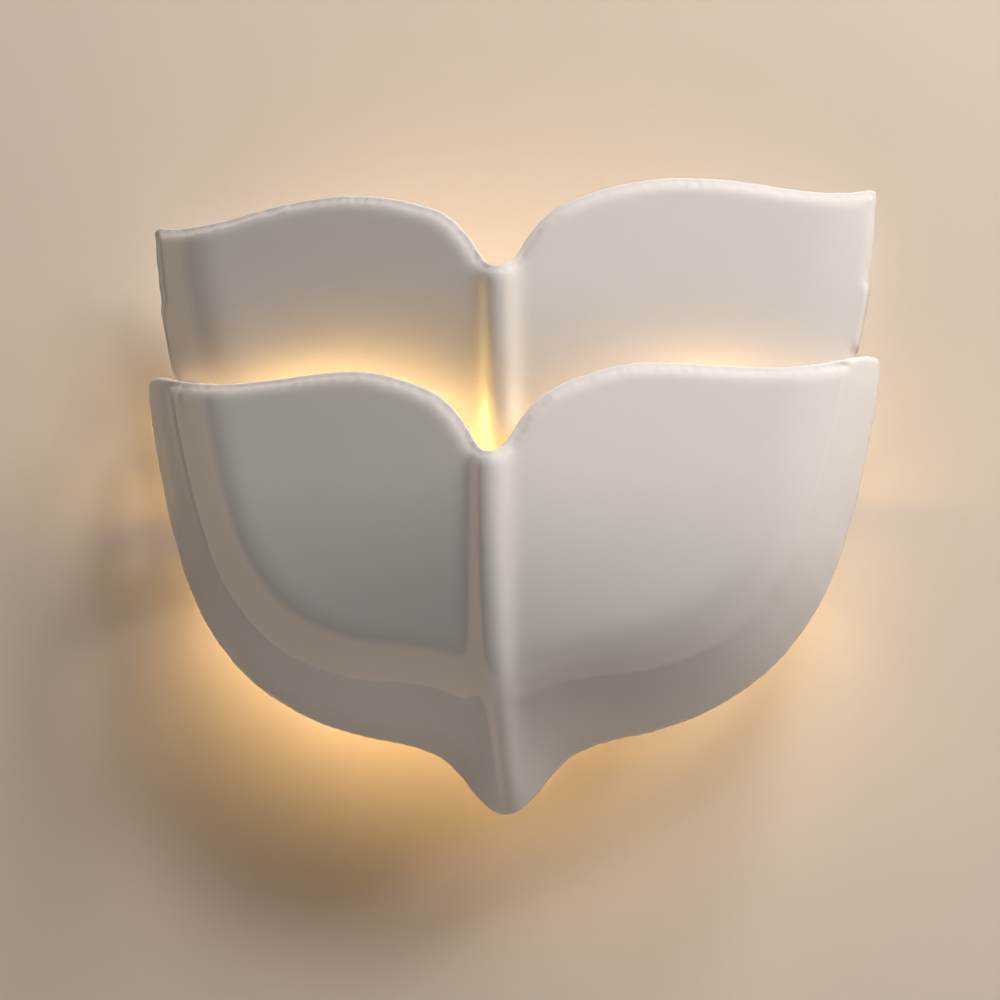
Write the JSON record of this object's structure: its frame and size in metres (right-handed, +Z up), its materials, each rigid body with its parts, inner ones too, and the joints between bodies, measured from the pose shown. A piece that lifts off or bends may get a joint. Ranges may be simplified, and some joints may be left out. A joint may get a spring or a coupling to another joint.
{
  "type": "wall sconce",
  "caption": "Uplight wall sconce: glazed ceramic leaf-shaped tiers, one behind the other, hung on a wall plate with capsule lamps hidden inside.",
  "frame": {"origin": "middle of the wall plate's back face, on the wall, midway between the wall screws", "axes": "+X to the right as seen from the room, +Y into the wall, +Z up; the light stands out towards -Y"},
  "size_m": [0.3201, 0.102, 0.272],
  "materials": {
    "glazed_ceramic": "warm white gloss glaze",
    "painted_steel": "satin white paint",
    "zinc_steel": "zinc plated",
    "brass": "plain machined",
    "bare_ceramic": "unglazed steatite",
    "strip_plastic": "matt",
    "silicone": "translucent grey",
    "black_rubber": "matt",
    "brown_lead": "braided sleeve",
    "blue_lead": "braided sleeve",
    "green_lead": "plain insulation",
    "frosted_bulb": "frosted, lit"
  },
  "bodies": {
    "fixture": {"wall_plate": "painted_steel", "lamp_bracket": "painted_steel", "hang_studs": "zinc_steel", "block_screws": "zinc_steel", "bracket_screws": "zinc_steel", "holder_screws": "zinc_steel", "terminal_screws": "zinc_steel", "terminal_sleeves": "brass", "earth_screw": "brass", "earth_tag": "brass", "contacts_left": "brass", "contacts_right": "brass", "holder_left": "bare_ceramic", "holder_right": "bare_ceramic", "terminal_block": "strip_plastic", "cable_grommet": "black_rubber", "lead_live_left": "brown_lead", "lead_live_right": "brown_lead", "lead_neutral_left": "blue_lead", "lead_neutral_right": "blue_lead", "earth_lead": "green_lead"},
    "shells": {"hanger_frame": "painted_steel", "lower_shell": "glazed_ceramic", "upper_shell": "glazed_ceramic", "lower_inserts": "brass", "upper_inserts": "brass", "lower_screws": "zinc_steel", "upper_screws": "zinc_steel", "lower_washers": "silicone", "upper_washers": "silicone", "wall_bumpers": "silicone"},
    "bulb_left": {"bulb_base_left": "bare_ceramic", "bulb_capsule_left": "frosted_bulb", "bulb_pins_left": "zinc_steel"},
    "bulb_right": {"bulb_base_right": "bare_ceramic", "bulb_capsule_right": "frosted_bulb", "bulb_pins_right": "zinc_steel"}
  },
  "joints": [
    {"name": "shells_lift", "type": "slide", "parent": "fixture", "child": "shells", "axis": [0, 0, 1], "range_m": [0, 0.01]},
    {"name": "bulb_left_pull", "type": "slide", "parent": "fixture", "child": "bulb_left", "axis": [-1, 0, 0], "range_m": [0, 0.016]},
    {"name": "bulb_right_pull", "type": "slide", "parent": "fixture", "child": "bulb_right", "axis": [1, 0, 0], "range_m": [0, 0.016]}
  ]
}
